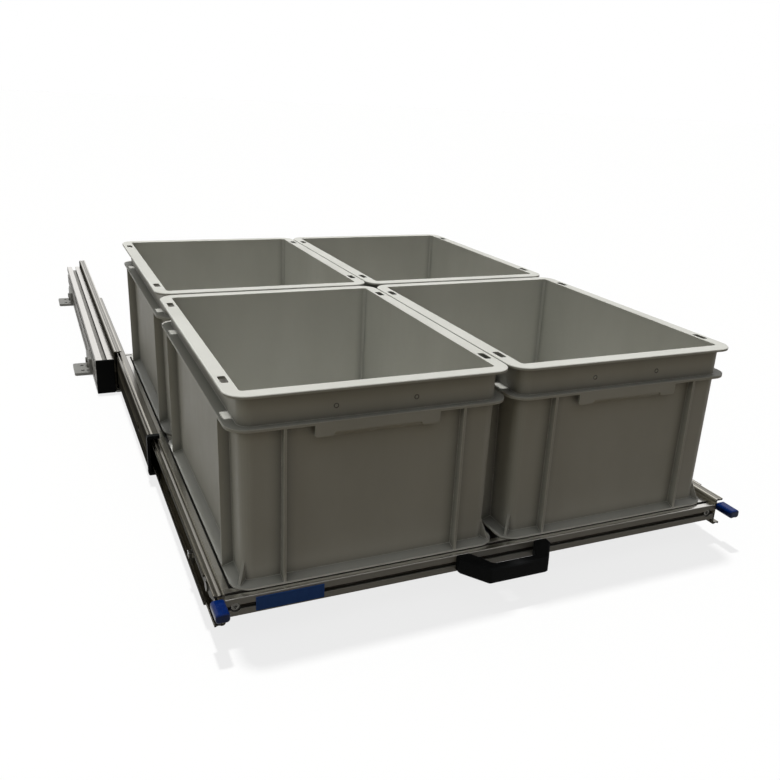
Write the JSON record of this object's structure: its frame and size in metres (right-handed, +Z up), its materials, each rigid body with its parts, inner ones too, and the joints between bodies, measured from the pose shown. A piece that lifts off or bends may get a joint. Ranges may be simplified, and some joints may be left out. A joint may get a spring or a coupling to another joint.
{
  "type": "pull-out bin rack",
  "caption": "Floor-bolted pull-out rack: slotted aluminium beams, telescopic ball slides and a low frame with handle and lock levers, carrying lift-off stacking bins.",
  "frame": {"origin": "on the floor, in the middle of the floor bolts, midway along the beams", "axes": "+X to the right seen from the handle's side, +Y to the rear, the way the rack pushes in, +Z up"},
  "size_m": [0.781, 1.604, 0.2525],
  "materials": {
    "profile_aluminium": "anodised, fine brushed",
    "bracket_aluminium": "satin",
    "slide_steel": "zinc plated",
    "cage_steel": "plain",
    "ball_steel": "polished",
    "lever_steel": "zinc plated",
    "zinc_fasteners": "zinc plated",
    "black_plastic": "moulded, fine grain",
    "blue_dip": "dipped vinyl, satin",
    "blue_plate": "semi-gloss",
    "bin_grey": "moulded, satin"
  },
  "bodies": {
    "base": {"left_beam": "profile_aluminium", "right_beam": "profile_aluminium", "left_beam_cap": "black_plastic", "right_beam_cap": "black_plastic", "left_front_bracket": "bracket_aluminium", "left_rear_bracket": "bracket_aluminium", "right_front_bracket": "bracket_aluminium", "right_rear_bracket": "bracket_aluminium", "bracket_bolts": "zinc_fasteners", "bracket_tee_nuts": "zinc_fasteners", "left_outer_member": "slide_steel", "right_outer_member": "slide_steel", "outer_member_screws": "zinc_fasteners", "outer_member_tee_nuts": "zinc_fasteners"},
    "drawer": {"front_bar": "profile_aluminium", "rear_bar": "profile_aluminium", "left_side_rail": "profile_aluminium", "right_side_rail": "profile_aluminium", "middle_bar": "profile_aluminium", "frame_screws": "zinc_fasteners", "left_drawer_member": "slide_steel", "right_drawer_member": "slide_steel", "drawer_member_screws": "zinc_fasteners", "drawer_member_tee_nuts": "zinc_fasteners", "pull_handle": "black_plastic", "handle_screws": "zinc_fasteners", "front_plate": "blue_plate", "lever_pivots": "zinc_fasteners", "left_lever_spring": "lever_steel", "right_lever_spring": "lever_steel"},
    "left_intermediate": {"left_intermediate_member": "slide_steel", "left_intermediate_bumper": "black_plastic"},
    "right_intermediate": {"right_intermediate_member": "slide_steel", "right_intermediate_bumper": "black_plastic"},
    "left_outer_cage": {"left_outer_ball_cage": "cage_steel", "left_outer_balls": "ball_steel"},
    "left_inner_cage": {"left_inner_ball_cage": "cage_steel", "left_inner_balls": "ball_steel"},
    "right_outer_cage": {"right_outer_ball_cage": "cage_steel", "right_outer_balls": "ball_steel"},
    "right_inner_cage": {"right_inner_ball_cage": "cage_steel", "right_inner_balls": "ball_steel"},
    "left_lever": {"left_lock_lever": "lever_steel", "left_lever_cap": "blue_dip"},
    "right_lever": {"right_lock_lever": "lever_steel", "right_lever_cap": "blue_dip"},
    "front_left_bin_body": {"front_left_bin": "bin_grey"},
    "front_right_bin_body": {"front_right_bin": "bin_grey"},
    "rear_left_bin_body": {"rear_left_bin": "bin_grey"},
    "rear_right_bin_body": {"rear_right_bin": "bin_grey"}
  },
  "joints": [
    {"name": "drawer_slide", "type": "slide", "parent": "base", "child": "drawer", "axis": [0, 1, 0], "range_m": [0, 0.756]},
    {"name": "left_intermediate_slide", "type": "slide", "parent": "base", "child": "left_intermediate", "axis": [0, 1, 0], "range_m": [0, 0.378]},
    {"name": "right_intermediate_slide", "type": "slide", "parent": "base", "child": "right_intermediate", "axis": [0, 1, 0], "range_m": [0, 0.378]},
    {"name": "left_outer_cage_roll", "type": "slide", "parent": "base", "child": "left_outer_cage", "axis": [0, 1, 0], "range_m": [0, 0.189]},
    {"name": "left_inner_cage_roll", "type": "slide", "parent": "base", "child": "left_inner_cage", "axis": [0, 1, 0], "range_m": [0, 0.567]},
    {"name": "right_outer_cage_roll", "type": "slide", "parent": "base", "child": "right_outer_cage", "axis": [0, 1, 0], "range_m": [0, 0.189]},
    {"name": "right_inner_cage_roll", "type": "slide", "parent": "base", "child": "right_inner_cage", "axis": [0, 1, 0], "range_m": [0, 0.567]},
    {"name": "left_lever_pivot", "type": "hinge", "parent": "drawer", "child": "left_lever", "pos_m": [-0.3152, -1.116, 0.0425], "axis": [1, 0, 0], "range_deg": [0, 6], "stiffness_Nm_per_rad": 1, "springref_deg": -5.73, "deforming": ["left_lever_spring"]},
    {"name": "right_lever_pivot", "type": "hinge", "parent": "drawer", "child": "right_lever", "pos_m": [0.3152, -1.116, 0.0425], "axis": [1, 0, 0], "range_deg": [0, 6], "stiffness_Nm_per_rad": 1, "springref_deg": -5.73, "deforming": ["right_lever_spring"]},
    {"name": "front_left_bin_lift", "type": "slide", "parent": "drawer", "child": "front_left_bin_body", "axis": [0, 0, 1], "range_m": [0, 0.3]},
    {"name": "front_right_bin_lift", "type": "slide", "parent": "drawer", "child": "front_right_bin_body", "axis": [0, 0, 1], "range_m": [0, 0.3]},
    {"name": "rear_left_bin_lift", "type": "slide", "parent": "drawer", "child": "rear_left_bin_body", "axis": [0, 0, 1], "range_m": [0, 0.3]},
    {"name": "rear_right_bin_lift", "type": "slide", "parent": "drawer", "child": "rear_right_bin_body", "axis": [0, 0, 1], "range_m": [0, 0.3]}
  ],
  "couplings": [
    {"joint": "left_intermediate_slide", "follows": "drawer_slide", "ratio": 0.5},
    {"joint": "right_intermediate_slide", "follows": "drawer_slide", "ratio": 0.5},
    {"joint": "left_outer_cage_roll", "follows": "drawer_slide", "ratio": 0.25},
    {"joint": "left_inner_cage_roll", "follows": "drawer_slide", "ratio": 0.75},
    {"joint": "right_outer_cage_roll", "follows": "drawer_slide", "ratio": 0.25},
    {"joint": "right_inner_cage_roll", "follows": "drawer_slide", "ratio": 0.75}
  ]
}
